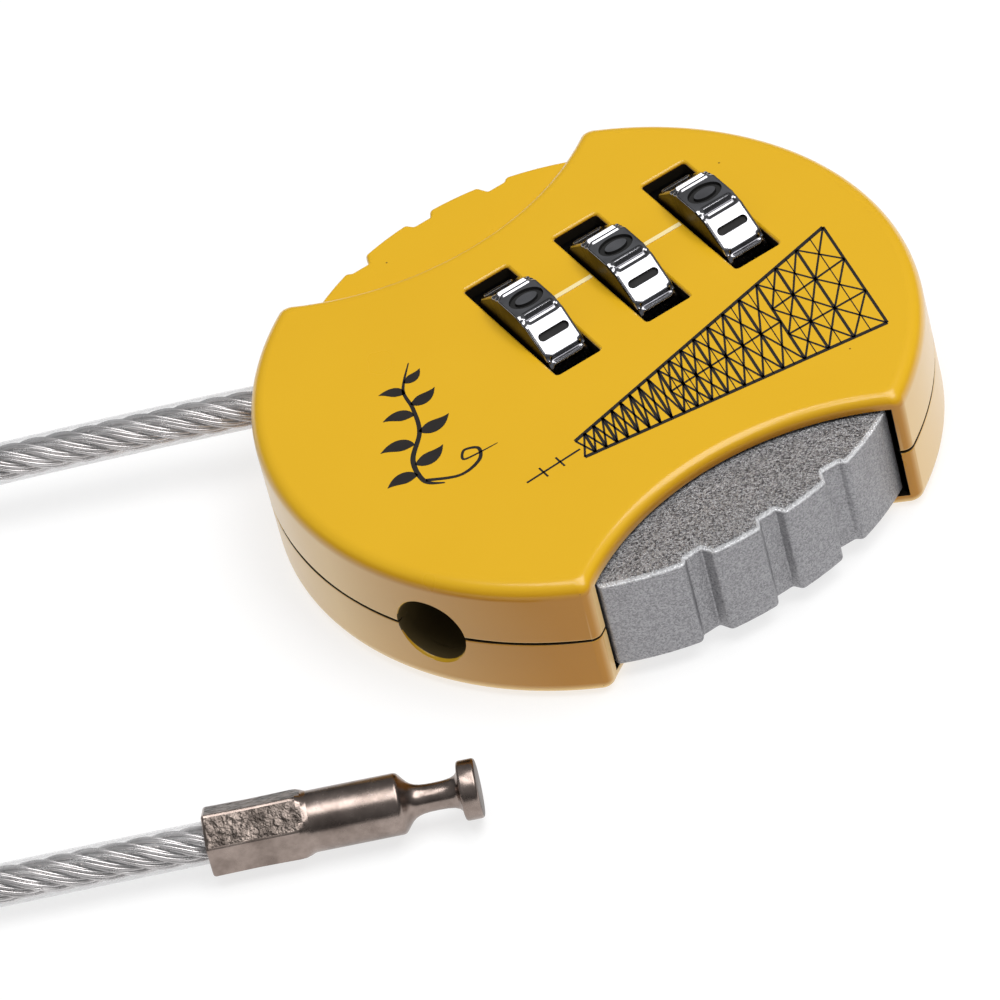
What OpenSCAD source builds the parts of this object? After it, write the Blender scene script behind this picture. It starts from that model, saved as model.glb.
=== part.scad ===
// Combination cable lock: a flat round two-shell case, three code wheels in windows,
// a push button on one flank, and a coated steel cable whose plug latches in the rim.
// Millimetres. The back face lies on z = 0, +Y points to the cable end, -X is the button side.

/* [Case] */
// Outer diameter of the round case
body_diameter = 45; // [40:0.5:60]
// Thickness of the case from face to face
body_thickness = 9.7; // [8.5:0.1:13]
// Thickness of the two face plates
plate = 1.0; // [0.8:0.1:1.4]
// Thickness of the rim wall
rim_wall = 1.2; // [0.9:0.1:1.8]
// Radius of the rounding where the rim meets each face
edge_round = 1.0; // [0.4:0.1:1.4]
// Softened edge along the two scooped flanks
scoop_soft = 0.6; // [0.2:0.1:0.9]
// Height of the dark line where the two shells meet
seam_gap = 0.16; // [0.05:0.01:0.3]

/* [Button] */
// How far the button is pushed in to let the plug go
button_travel = 1.2; // [0.8:0.1:1.6]
// Gap between the button and each face plate
button_gap = 0.25; // [0.1:0.05:0.4]
// Width of a finger groove at the surface
groove_width = 2.0; // [1:0.1:3]
// Depth of a finger groove
groove_depth = 0.65; // [0.3:0.05:1]

/* [Code wheels] */
// Distance from one wheel to the next
dial_pitch = 7.2; // [6.4:0.1:8]
// Width of a wheel along its axle
dial_width = 3.1; // [2.6:0.1:3.6]
// How far a wheel stands above the face
dial_proud = 2.05; // [1.2:0.05:2.6]
// Radius of the axle that the wheels turn on
spindle_radius = 1.0; // [0.7:0.05:1.2]
// Running gap between the axle and a code sleeve
running_gap = 0.05; // [0.02:0.01:0.09]
// Depth of the digits
digit_depth = 0.25; // [0.1:0.05:0.4]

/* [Cable and plug] */
// Diameter of the coated cable
cable_diameter = 2.8; // [2:0.1:3.6]
// Length of cable between the case and the plug
cable_length = 140; // [120:1:220]
// Length of the plug without its neck and head
plug_barrel = 12.7; // [10:0.1:16]
// Length of the plug's thin neck
neck_length = 3.0; // [2.4:0.1:4]
// Radius of the plug's thin neck
neck_radius = 0.9; // [0.6:0.05:1.1]

/* [Hidden] */
$fn = 96;

R = body_diameter / 2;
T = body_thickness;
seam = T / 2;
inner_r = R - rim_wall;

// the two scooped flanks
scoop_r = 19.7;
scoop_wall = R - 8.0;
scoop_x = scoop_wall + scoop_r;

// the fixed grip on the +X flank
lobe_r = R - 2.1;
lobe_half = 10.4;
lobe_step = 1.0;
lobe_groove = 0.55;
lobe_grooves = [6.0, 0.4, -5.2];

// the push button on the -X flank
button_r = R - 1.4;
button_half = 11.25;
button_rear = button_half + 0.45;
button_top = T - plate - button_gap;
button_bottom = plate + button_gap;
button_back = -(R - 9.6);
button_grooves = [5.0, -0.5, -6.0];
opening_front = button_half + 0.2;
opening_rear = -(button_half + 0.7);
spring_y = 5.5;
spring_or = 1.3;
spring_wire = 0.18;
spring_turns = 5;
spring_pocket = 2.1;
stop_x = button_back + 4.3;
stop_t = 1.0;

// the code wheels
dial_x = 5.0;
dial_y = [0.9, 0.9 - dial_pitch, 0.9 - 2 * dial_pitch];
dial_r = (T + dial_proud - plate - 0.25) / 2;
ridge_r = dial_r + 0.15;
axle_z = T + dial_proud - dial_r;
window_half = dial_r + 0.5;
window_w = dial_width + 0.4;
hub_wall = 0.6;
hub_r = spindle_radius + hub_wall;
flange_r = T - plate - axle_z - 0.15;
flange_t = 0.8;
gate_d = 0.6;

// the black carrier around the wheels
rail_t = 1.0;
rail_in = window_half + 0.15;
wall_t = 1.0;
cradle_front = dial_y[0] + dial_width / 2 + 0.65;
cradle_rear = dial_y[2] - dial_width / 2 - flange_t - 0.35;

// the locking slider
slider_z = plate + 1.0;
slider_t = 0.8;
riser_x = dial_x - rail_in - rail_t - 0.35 - button_travel - slider_t;
finger_tip = dial_x - flange_r - button_travel - 0.1;

// the plug and the port it goes in
port_angle = 27.2;
barrel_r = (cable_diameter + 1.2) / 2;
port_r = barrel_r + 0.5;
port_len = 6.9;
head_r = barrel_r - 0.05;
head_t = 1.2;
hex_len = 6.5;
shoulder = 0.8;
round_len = plug_barrel - hex_len;
neck_depth = round_len + shoulder + neck_length / 2;
latch_t = 1.0;
latch_hole = head_r + 0.2;

// the cable's fixed end
cable_r = cable_diameter / 2;
cable_angle = 28.2;
cable_from = 45;
ferrule_r = cable_r + 0.7;
ferrule_len = 6.0;
socket_r = ferrule_r + 1.0;
anchor_at = 3.0;

// where the loose plug lies: the end of its sleeve
plug_x = -13.73;
plug_y = 40.04;
hex_corner = (barrel_r + 0.06) / cos(30);
plug_z = hex_corner + 0.01;

// case screws: turn about the case's centre
screw_turn = [84, 239, 316];
screw_at = R - 3.05;
post_r = 2.1;

// ---------- shared shapes ----------

// one half of the case's outline, turned about the centre
module case_profile() {
  union() {
    square([R - edge_round, T]);
    translate([0, edge_round]) square([R, T - 2 * edge_round]);
    intersection() {
      union() {
        translate([R - edge_round, edge_round]) circle(edge_round);
        translate([R - edge_round, T - edge_round]) circle(edge_round);
      }
      square([R, T]);
    }
  }
}

// cutter for one scooped flank, opening out a little at both faces
module scoop(side) {
  translate([side * scoop_x, 0, 0]) rotate_extrude() union() {
    translate([0, -1]) square([scoop_r, T + 2]);
    difference() {
      translate([scoop_r - 0.5, T - scoop_soft]) square([scoop_soft + 0.3, scoop_soft + 1]);
      translate([scoop_r + scoop_soft, T - scoop_soft]) circle(scoop_soft * 1.06);
    }
    difference() {
      translate([scoop_r - 0.5, -1]) square([scoop_soft + 0.3, scoop_soft + 1]);
      translate([scoop_r + scoop_soft, scoop_soft]) circle(scoop_soft * 1.06);
    }
  }
}

// a straight finger groove cut from outside, across the edge of a grip
module grip_groove(r, y, side, width, depth) {
  translate([side * sqrt(r * r - y * y), y, -1]) rotate([0, 0, side < 0 ? 180 : 0])
    linear_extrude(T + 2)
      polygon([[-depth, -width * 0.28], [-depth, width * 0.28],
               [0, width * 0.5], [2, width * 0.86], [2, -width * 0.86], [0, -width * 0.5]]);
}

// a flat disc with its two edges bevelled
module bevel_disc(r, low, high, bevel) {
  rotate_extrude() polygon([[0, low], [r - bevel, low], [r, low + bevel],
                            [r, high - bevel], [r - bevel, high], [0, high]]);
}

// the plug port's axis: z runs outwards from the case's centre
module on_port() {
  translate([0, 0, seam]) rotate([0, 0, port_angle]) rotate([-90, 0, 0]) children();
}

// the fixed cable end: z runs outwards along the cable, 0 where it crosses the rim
module on_exit() {
  translate([R * cos(cable_from), R * sin(cable_from), seam])
    rotate([0, 0, -cable_angle]) rotate([-90, 0, 0]) children();
}

module on_screw(i) {
  rotate([0, 0, screw_turn[i]]) translate([screw_at, 0, 0]) children();
}

// everything the two shells hold between their face plates
module shell_works() {
  intersection() {
    union() {
      // grip wall behind the fixed lobe
      difference() {
        translate([scoop_x, 0, plate / 2]) cylinder(r = scoop_r + 1.0, h = T - plate);
        translate([scoop_x, 0, -1]) cylinder(r = scoop_r - 0.5, h = T + 2);
      }
      // boss around the plug port
      on_port() translate([0, 0, R - port_len]) cylinder(r = port_r + 0.9, h = port_len);
      // boss that holds the crimped cable end
      on_exit() translate([0, 0, -9.5]) cylinder(r = socket_r, h = 11);
      // screw posts
      for (i = [0:2]) on_screw(i) translate([0, 0, plate / 2]) rotate([0, 0, 180]) cylinder(r = post_r, h = T - plate);
      // guides for the button
      translate([-R, opening_front, plate / 2]) cube([R - 11.5, 1.3, T - plate]);
      translate([-R, opening_rear - 1.3, plate / 2]) cube([R - 11.5, 1.3, T - plate]);
    }
    cylinder(r = R - 0.4, h = T);
  }
}

// both shells before they are parted at the seam
module shell_solid() {
  difference() {
    union() {
      difference() {
        rotate_extrude() case_profile();
        translate([0, 0, plate]) cylinder(r = inner_r, h = T - 2 * plate);
      }
      shell_works();
    }
    scoop(-1);
    scoop(1);
    // the button's opening between the horns
    translate([-R - 1, opening_rear, plate])
      cube([R - 11, opening_front - opening_rear, T - 2 * plate]);
    // plug port
    on_port() translate([0, 0, R - port_len - 1]) cylinder(r = port_r, h = port_len + 3);
    // cable hole and the wider seat of the crimped end
    on_exit() {
      translate([0, 0, -anchor_at - 1]) cylinder(r = cable_r + 0.1, h = anchor_at + 5);
      translate([0, 0, -9.6]) cylinder(r = ferrule_r, h = 9.6 - anchor_at);
    }
    // shadow line round the rim
    difference() {
      translate([0, 0, seam - seam_gap / 2]) cylinder(r = R + 1, h = seam_gap);
      translate([0, 0, seam - 1]) cylinder(r = R - 0.35, h = 2);
    }
  }
}

// fixed grip on the +X flank, cast half in each shell
module grip_lobe() {
  difference() {
    intersection() {
      bevel_disc(lobe_r, lobe_step, T - lobe_step, 0.35);
      translate([scoop_wall - 0.6, -lobe_half, 0]) cube([R, 2 * lobe_half, T]);
      // it ends inside the wall behind it
      translate([scoop_x, 0, 0]) cylinder(r = scoop_r + 0.5, h = T);
    }
    for (y = lobe_grooves) grip_groove(lobe_r, y, 1, groove_width, lobe_groove);
  }
}

module dial_windows() {
  for (y = dial_y)
    translate([dial_x - window_half, y - window_w / 2, T - plate - 1])
      cube([2 * window_half, window_w, plate + 2]);
}

// ---------- case ----------

module upper_shell() {
  color([0.89, 0.69, 0.16]) difference() {
    union() {
      intersection() {
        union() {
          shell_solid();
          grip_lobe();
        }
        translate([-R, -R, seam]) cube([2 * R, 2 * R, T]);
      }
      // seats for the button springs
      for (y = [spring_y, -spring_y])
        translate([stop_x, y - 1.6, plate + 2.3]) cube([stop_t, 3.2, T - plate * 1.5 - 2.3]);
    }
    dial_windows();
    for (i = [0:2]) on_screw(i) cylinder(r = 0.8, h = T - 2.3);
  }
}

module lower_shell() {
  color([0.87, 0.67, 0.15]) difference() {
    intersection() {
      union() {
        shell_solid();
        grip_lobe();
      }
      translate([-R, -R, 0]) cube([2 * R, 2 * R, seam]);
    }
    for (i = [0:2]) on_screw(i) {
      translate([0, 0, -1]) cylinder(r = 0.9, h = T);
      translate([0, 0, -1]) cylinder(r = 1.65, h = plate + 1);
    }
  }
}

// the thin raised marks between the windows that the code is read against
module index_lines() {
  color([0.97, 0.9, 0.62]) for (i = [0:1])
    translate([dial_x + 0.45, dial_y[i + 1] + window_w / 2 + 0.2, T])
      cube([0.35, dial_pitch - window_w - 0.4, 0.06]);
}

module case_screw(i) {
  color([0.55, 0.55, 0.57]) on_screw(i) difference() {
    union() {
      translate([0, 0, 0.3]) cylinder(r = 1.5, h = plate - 0.3);
      translate([0, 0, plate - 0.1]) cylinder(r = 0.8, h = T - 3.5);
    }
    for (a = [0, 90]) rotate([0, 0, a]) translate([-0.85, -0.18, 0]) cube([1.7, 0.36, 0.75]);
  }
}

module case_screw_1() { case_screw(0); }
module case_screw_2() { case_screw(1); }
module case_screw_3() { case_screw(2); }

// ---------- button and latch ----------

module release_button() {
  color([0.72, 0.72, 0.74]) difference() {
    intersection() {
      bevel_disc(button_r, button_bottom, button_top, 0.3);
      translate([-R, -button_rear, 0]) cube([R + button_back, button_half + button_rear, T]);
    }
    for (y = button_grooves) grip_groove(button_r, y, -1, groove_width, groove_depth);
    // pockets for the two springs
    for (y = [spring_y, -spring_y])
      translate([button_back - spring_pocket, y, seam]) rotate([0, 90, 0])
        cylinder(r = spring_or + 0.25, h = 4);
    // slot that the slider's plate is fixed in
    translate([button_back - 2, -9, slider_z]) cube([3, 18, slider_t]);
  }
}

module locking_slider() {
  color([0.6, 0.61, 0.63]) union() {
    // base plate
    difference() {
      translate([button_back - 2, -9, slider_z]) cube([riser_x + slider_t - button_back + 2, 18, slider_t]);
      translate([button_back + 4.2, -2.5, slider_z - 1]) cube([3, 5, 3]);
    }
    // tongue that carries the latch plate
    translate([-11, 8, slider_z]) cube([7, 4.2, slider_t]);
    // latch plate: its hole hooks behind the plug's head until the button is pushed
    intersection() {
      on_port() difference() {
        translate([-4.4, -T / 2, R - neck_depth - latch_t / 2]) cube([8.4, T, latch_t]);
        translate([-button_travel * cos(port_angle), 0, R - neck_depth - 2]) cylinder(r = latch_hole, h = 4);
      }
      translate([-R, 0, slider_z]) cube([2 * R, R, T - plate - 0.9 - slider_z]);
    }
    // riser with one finger for each code sleeve
    translate([riser_x, dial_y[2] - 2.6, slider_z]) cube([slider_t, dial_y[0] - dial_y[2] + 3.4, axle_z + 0.5 - slider_z]);
    translate([riser_x - 2, dial_y[2] - 2.6, slider_z]) cube([2 + slider_t, 9.5, slider_t]);
    for (y = dial_y)
      translate([riser_x, y - dial_width / 2 - flange_t / 2 - 0.3, axle_z - 0.5])
        cube([finger_tip - riser_x, 0.6, 1.0]);
  }
}

// a round-wire coil spring along X, its rear end at the button and its front end at the seat
module coil_spring(y) {
  steps = 12;
  n = spring_turns * steps;
  sides = 6;
  x0 = button_back - spring_pocket + spring_wire;
  x1 = stop_x - spring_wire;
  rm = spring_or - spring_wire;
  ring = [for (k = [0:n], j = [0:sides - 1])
    let (a = 360 * k / steps, b = 360 * j / sides, rr = rm + spring_wire * cos(b))
      [x0 + (x1 - x0) * k / n + spring_wire * sin(b), y + rr * cos(a), seam + rr * sin(a)]];
  walls = [for (k = [0:n - 1], j = [0:sides - 1], h = [0, 1])
    let (p = k * sides + j, q = k * sides + (j + 1) % sides)
      h == 0 ? [p, q, q + sides] : [p, q + sides, p + sides]];
  polyhedron(points = ring,
    faces = concat([[for (j = [sides - 1:-1:0]) j]], walls, [[for (j = [0:sides - 1]) n * sides + j]]));
}

module button_spring_front() { color([0.75, 0.75, 0.77]) coil_spring(spring_y); }
module button_spring_rear() { color([0.75, 0.75, 0.77]) coil_spring(-spring_y); }

// ---------- code wheels ----------

// bars of a digit: top, upper right, lower right, bottom, lower left, upper left, middle
DIGIT_BARS = ["abcdef", "bc", "abdeg", "abcdg", "bcfg", "acdfg", "acdefg", "abc", "abcdefg", "abcdfg"];

module digit_face(n) {
  w = dial_width * 0.42;
  h = dial_width * 0.76;
  s = dial_width * 0.13;
  function on(c) = len(search(c, DIGIT_BARS[n])) > 0;
  if (on("a")) translate([-w / 2, h / 2 - s]) square([w, s]);
  if (on("d")) translate([-w / 2, -h / 2]) square([w, s]);
  if (on("g")) translate([-w / 2, -s / 2]) square([w, s]);
  if (on("b")) translate([w / 2 - s, 0]) square([s, h / 2]);
  if (on("c")) translate([w / 2 - s, -h / 2]) square([s, h / 2]);
  if (on("f")) translate([-w / 2, 0]) square([s, h / 2]);
  if (on("e")) translate([-w / 2, -h / 2]) square([s, h / 2]);
}

module dial_wheel(i) {
  color([0.32, 0.32, 0.34]) translate([dial_x, dial_y[i], axle_z]) difference() {
    rotate([90, 0, 0]) difference() {
      intersection() {
        cylinder(r = dial_r / cos(18), h = dial_width, center = true, $fn = 10);
        cylinder(r = ridge_r, h = dial_width, center = true);
      }
      cylinder(r = hub_r, h = dial_width + 2, center = true);
      // notches that let the code sleeve be set to any digit
      for (k = [0:9]) rotate([0, 0, 36 * k]) translate([0, -0.35, -dial_width])
        cube([hub_r + 0.4, 0.7, 2 * dial_width]);
    }
    for (k = [0:9]) rotate([0, -36 * k, 0]) translate([0, 0, dial_r - digit_depth])
      linear_extrude(1) digit_face(k);
  }
}

module dial_wheel_1() { dial_wheel(0); }
module dial_wheel_2() { dial_wheel(1); }
module dial_wheel_3() { dial_wheel(2); }

module code_sleeve(i) {
  color([0.78, 0.66, 0.35]) translate([dial_x, dial_y[i], axle_z]) rotate([90, 0, 0]) difference() {
    union() {
      translate([0, 0, -dial_width / 2]) cylinder(r = hub_r, h = dial_width);
      translate([0, 0, dial_width / 2]) cylinder(r = flange_r, h = flange_t);
      rotate([0, 0, 36]) translate([0, -0.3, -dial_width / 2]) cube([hub_r + 0.35, 0.6, dial_width]);
    }
    translate([0, 0, -dial_width]) cylinder(r = spindle_radius + running_gap, h = 3 * dial_width);
    // the gate a slider finger drops into when the right digit is up
    translate([-flange_r - 1, -0.65, dial_width / 2 + 0.01]) cube([gate_d + 1, 1.3, flange_t + 1]);
  }
}

module code_sleeve_1() { code_sleeve(0); }
module code_sleeve_2() { code_sleeve(1); }
module code_sleeve_3() { code_sleeve(2); }

module dial_spindle() {
  color([0.7, 0.7, 0.72]) translate([dial_x, cradle_rear - wall_t, axle_z]) rotate([-90, 0, 0])
    cylinder(r = spindle_radius, h = cradle_front - cradle_rear + 2 * wall_t);
}

module dial_cradle() {
  color([0.09, 0.09, 0.09]) difference() {
    union() {
      for (s = [0, 1])
        translate([s == 0 ? dial_x - rail_in - rail_t : dial_x + rail_in, cradle_rear - wall_t, plate])
          cube([rail_t, cradle_front - cradle_rear + 2 * wall_t, T - 2 * plate]);
      for (y = [cradle_front, cradle_rear - wall_t,
                dial_y[0] - dial_pitch / 2 - flange_t / 2 - wall_t / 2,
                dial_y[1] - dial_pitch / 2 - flange_t / 2 - wall_t / 2])
        translate([dial_x - rail_in, y, plate]) cube([2 * rail_in, wall_t, T - 2 * plate]);
    }
    translate([dial_x, -R, axle_z]) rotate([-90, 0, 0]) cylinder(r = spindle_radius, h = 2 * R);
    // slots for the slider's fingers
    for (y = dial_y)
      translate([dial_x - rail_in - rail_t - 1, y - dial_width / 2 - flange_t / 2 - 0.5, axle_z - 0.8])
        cube([rail_t + 2, 1.0, 1.6]);
    // room for the screw posts
    for (i = [0:2]) on_screw(i) cylinder(r = post_r + 0.15, h = T);
    // seat of the click spring
    translate([dial_x - rail_in, cradle_rear, plate + 0.4]) cube([0.15, cradle_front - cradle_rear, 2.0]);
  }
}

// leaf with one bent finger for each wheel
module detent_spring() {
  color([0.66, 0.66, 0.68]) translate([dial_x - rail_in, 0, plate + 0.4]) union() {
    translate([0, cradle_rear, 0]) cube([0.15, cradle_front - cradle_rear, 2.0]);
    for (y = dial_y) {
      translate([0, y - 0.9, 1.5]) cube([0.15, 1.8, axle_z - plate - 1.0]);
      translate([0.16, y + 0.9, axle_z - plate - 0.4]) rotate([90, 0, 0]) cylinder(r = 0.15, h = 1.8);
    }
  }
}

// ---------- cable and plug ----------

module cable_anchor() {
  color([0.62, 0.62, 0.64]) on_exit() translate([0, 0, -anchor_at - ferrule_len]) difference() {
    cylinder(r = ferrule_r, h = ferrule_len);
    translate([0, 0, -1]) cylinder(r = cable_r, h = ferrule_len + 2);
  }
}

// the cable in plan: u along both straight legs, v across them
dir_u = [sin(cable_angle), cos(cable_angle)];
dir_v = [cos(cable_angle), -sin(cable_angle)];
exit_xy = [R * cos(cable_from), R * sin(cable_from)];
exit_u = exit_xy * dir_u;
exit_v = exit_xy * dir_v;
plug_u = [plug_x, plug_y] * dir_u;
plug_v = [plug_x, plug_y] * dir_v;
bend_r = (exit_v - plug_v) / 2;
bend_u = (cable_length - PI * bend_r + exit_u + plug_u) / 2;
leg_a = bend_u - exit_u;
bend_l = PI * bend_r;
low_z = cable_r + 0.2;

function ease(t) = let (c = min(max(t, 0), 1)) c * c * (3 - 2 * c);
function cable_height(s) =
  s < 0.6 * cable_length ? seam + (low_z - seam) * ease(s / (0.6 * cable_length))
                         : low_z + (plug_z - low_z) * ease((s / cable_length - 0.6) / 0.4);
function cable_uv(s) =
  s < leg_a ? [exit_u + s, exit_v]
  : s < leg_a + bend_l
    ? let (a = (s - leg_a) / bend_r * 180 / PI) [bend_u + bend_r * sin(a), (exit_v + plug_v) / 2 + bend_r * cos(a)]
    : [bend_u - (s - leg_a - bend_l), plug_v];
function cable_at(s) =
  let (p = cable_uv(s)) [p[0] * dir_u[0] + p[1] * dir_v[0], p[0] * dir_u[1] + p[1] * dir_v[1], cable_height(s)];

module cable() {
  sides = 10;
  stations = concat([-8.4, 0, 9], [for (k = [1:4]) 9 + (leg_a - 9) * k / 5],
    [for (k = [0:20]) leg_a + bend_l * k / 20],
    [for (k = [1:3]) leg_a + bend_l + (cable_length - leg_a - bend_l) * k / 3], [cable_length + 5.4]);
  n = len(stations);
  pts = [for (s = stations, j = [0:sides - 1])
    let (p = cable_at(s), d = cable_at(s + 0.02) - cable_at(s - 0.02), t = d / norm(d),
         side = cross(t, [0, 0, 1]) / norm(cross(t, [0, 0, 1])), up = cross(side, t), a = 360 * j / sides)
      p + cable_r * (cos(a) * side + sin(a) * up)];
  walls = [for (k = [0:n - 2], j = [0:sides - 1], h = [0, 1])
    let (p = k * sides + j, q = k * sides + (j + 1) % sides)
      h == 0 ? [p, q + sides, q] : [p, p + sides, q + sides]];
  color([0.74, 0.75, 0.76]) polyhedron(points = pts,
    faces = concat([[for (j = [0:sides - 1]) j]], walls, [[for (j = [sides - 1:-1:0]) (n - 1) * sides + j]]));
}

module cable_plug() {
  color([0.36, 0.35, 0.34]) translate([plug_x, plug_y, plug_z]) rotate([0, 0, -cable_angle]) rotate([90, 0, 0])
    difference() {
      union() {
        // crimped six-sided sleeve, held on one of its corners by the stiff cable
        rotate([0, 0, 30]) cylinder(r = hex_corner, h = hex_len, $fn = 6);
        translate([0, 0, hex_len - 0.5]) cylinder(r = barrel_r, h = round_len + 0.5);
        translate([0, 0, plug_barrel]) cylinder(r1 = barrel_r, r2 = neck_radius + 0.35, h = shoulder);
        translate([0, 0, plug_barrel + shoulder - 0.2]) cylinder(r = neck_radius, h = neck_length + 0.7);
        translate([0, 0, plug_barrel + shoulder + neck_length - 0.4]) cylinder(r1 = neck_radius, r2 = neck_radius + 0.4, h = 0.4);
        translate([0, 0, plug_barrel + shoulder + neck_length]) cylinder(r = head_r, h = head_t);
      }
      translate([0, 0, -1]) cylinder(r = cable_r, h = 6.5);
    }
}

// ---------- assembly ----------

upper_shell();
lower_shell();
index_lines();
release_button();
locking_slider();
button_spring_front();
button_spring_rear();
dial_wheel_1();
dial_wheel_2();
dial_wheel_3();
code_sleeve_1();
code_sleeve_2();
code_sleeve_3();
dial_spindle();
dial_cradle();
detent_spring();
case_screw_1();
case_screw_2();
case_screw_3();
cable_anchor();
cable();
cable_plug();
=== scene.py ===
import math
import bpy
import bmesh
from mathutils import Matrix, Vector


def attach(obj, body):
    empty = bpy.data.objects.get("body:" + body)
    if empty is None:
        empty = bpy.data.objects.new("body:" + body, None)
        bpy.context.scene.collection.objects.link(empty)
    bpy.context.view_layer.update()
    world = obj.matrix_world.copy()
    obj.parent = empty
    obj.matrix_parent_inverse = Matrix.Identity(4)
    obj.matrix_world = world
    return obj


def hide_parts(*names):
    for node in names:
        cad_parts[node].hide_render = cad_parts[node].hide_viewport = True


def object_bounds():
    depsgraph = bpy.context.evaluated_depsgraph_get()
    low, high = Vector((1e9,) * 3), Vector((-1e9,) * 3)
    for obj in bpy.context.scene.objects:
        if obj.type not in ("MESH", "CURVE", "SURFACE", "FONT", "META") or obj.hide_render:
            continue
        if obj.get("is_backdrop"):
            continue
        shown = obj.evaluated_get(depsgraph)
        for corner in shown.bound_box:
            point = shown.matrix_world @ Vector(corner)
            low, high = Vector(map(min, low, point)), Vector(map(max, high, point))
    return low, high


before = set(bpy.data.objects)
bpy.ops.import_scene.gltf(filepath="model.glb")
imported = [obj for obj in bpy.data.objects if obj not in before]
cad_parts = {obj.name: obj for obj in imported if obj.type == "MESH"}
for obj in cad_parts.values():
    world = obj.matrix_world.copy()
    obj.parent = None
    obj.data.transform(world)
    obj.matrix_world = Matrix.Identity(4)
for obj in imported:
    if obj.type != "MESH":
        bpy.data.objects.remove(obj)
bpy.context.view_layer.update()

MM = 0.001

# ---- sizes, in millimetres, as in the CAD source ----
R, T, PLATE, RIM = 22.5, 9.7, 1.0, 1.2
SEAM = T / 2
EDGE_OUT, EDGE_SCOOP, CORNER = 1.05, 0.85, 0.8
SCOOP_R, SCOOP_WALL = 19.7, 14.5
SCOOP_X = SCOOP_WALL + SCOOP_R
PORT_ANGLE, PORT_R, PORT_LEN = math.radians(27.2), 2.5, 6.9
CABLE_ANGLE, CABLE_R, CABLE_LENGTH = math.radians(28.2), 1.4, 140.0
DIAL_X, DIAL_Y, DIAL_W, AXLE_Z = 5.0, (0.9, -6.3, -13.5), 3.1, 6.5
WINDOW_HALF, WINDOW_W = 5.75, 3.5
BUTTON_R, BUTTON_FRONT, BUTTON_REAR, BUTTON_BACK = 21.1, 11.25, 11.7, 12.9
BUTTON_LOW, BUTTON_HIGH = 1.25, 8.45
GROOVE_W, BUTTON_GROOVES, LOBE_GROOVES = 2.0, (5.0, -0.5, -6.0), (6.0, 0.4, -5.2)
OPENING_FRONT, OPENING_REAR, OPENING_DEEP, OPENING_LIP, GUIDE_BACK = 11.45, -11.8, -10, -18.55, -11.5
LOBE_R, LOBE_HALF, LOBE_STEP = 20.4, 10.4, 1.0
SCREW_TURNS, SCREW_AT = (84, 239, 316), 19.45
PLUG_END, HEX_FLAT, HEX_CORNER, PLUG_Z = (-13.73, 40.04), 2.06, 2.34, 2.389


# =====================================================================
# materials
# =====================================================================

class Nodes:
    """A material's node tree, built link by link."""

    def __init__(self, name):
        self.mat = bpy.data.materials.new(name)
        self.mat.use_nodes = True
        self.tree = self.mat.node_tree
        self.tree.nodes.clear()
        self.out = self.add("ShaderNodeOutputMaterial")
        self.bsdf = self.add("ShaderNodeBsdfPrincipled")
        self.link(self.bsdf.outputs[0], self.out.inputs[0])
        self.where = self.add("ShaderNodeTexCoord").outputs["Object"]

    def add(self, kind, **props):
        n = self.tree.nodes.new(kind)
        for k, v in props.items():
            setattr(n, k, v)
        return n

    def link(self, a, b):
        self.tree.links.new(a, b)

    def set(self, **values):
        for k, v in values.items():
            self.bsdf.inputs[k.replace("_", " ")].default_value = v

    def scaled(self, x, y, z):
        m = self.add("ShaderNodeMapping")
        m.inputs["Scale"].default_value = (x, y, z)
        self.link(self.where, m.inputs[0])
        return m.outputs[0]

    def noise(self, scale, detail=3.0, rough=0.5, vector=None):
        n = self.add("ShaderNodeTexNoise")
        n.inputs["Scale"].default_value = scale
        n.inputs["Detail"].default_value = detail
        n.inputs["Roughness"].default_value = rough
        self.link(vector or self.where, n.inputs["Vector"])
        return n.outputs["Fac"]

    def voronoi(self, scale):
        n = self.add("ShaderNodeTexVoronoi")
        n.inputs["Scale"].default_value = scale
        self.link(self.where, n.inputs["Vector"])
        return n

    def ramp(self, fac, low, high, a=(0, 0, 0, 1), b=(1, 1, 1, 1)):
        n = self.add("ShaderNodeValToRGB")
        n.color_ramp.elements[0].position = low
        n.color_ramp.elements[1].position = high
        n.color_ramp.elements[0].color = a
        n.color_ramp.elements[1].color = b
        self.link(fac, n.inputs[0])
        return n.outputs[0]

    def mix(self, fac, a, b, kind="MIX"):
        n = self.add("ShaderNodeMix", data_type="RGBA", blend_type=kind)
        for k, v in ((0, fac), (6, a), (7, b)):
            if hasattr(v, "is_linked") or hasattr(v, "links"):
                self.link(v, n.inputs[k])
            else:
                n.inputs[k].default_value = v
        return n.outputs[2]

    def range(self, fac, low, high):
        n = self.add("ShaderNodeMapRange")
        n.inputs["To Min"].default_value = low
        n.inputs["To Max"].default_value = high
        self.link(fac, n.inputs["Value"])
        return n.outputs[0]

    def bump(self, height, strength, distance_mm, after=None):
        n = self.add("ShaderNodeBump")
        n.inputs["Strength"].default_value = strength
        n.inputs["Distance"].default_value = distance_mm * MM
        self.link(height, n.inputs["Height"])
        if after is not None:
            self.link(after, n.inputs["Normal"])
        self.link(n.outputs[0], self.bsdf.inputs["Normal"])
        return n.outputs[0]


def rgb(r, g, b):
    """An sRGB colour, 0 to 255, as linear RGBA."""
    def linear(c):
        return c / 12.92 if c <= 0.04045 else ((c + 0.055) / 1.055) ** 2.4
    return (linear(r / 255), linear(g / 255), linear(b / 255), 1)


def grey(v):
    return (v, v, v, 1)


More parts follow.
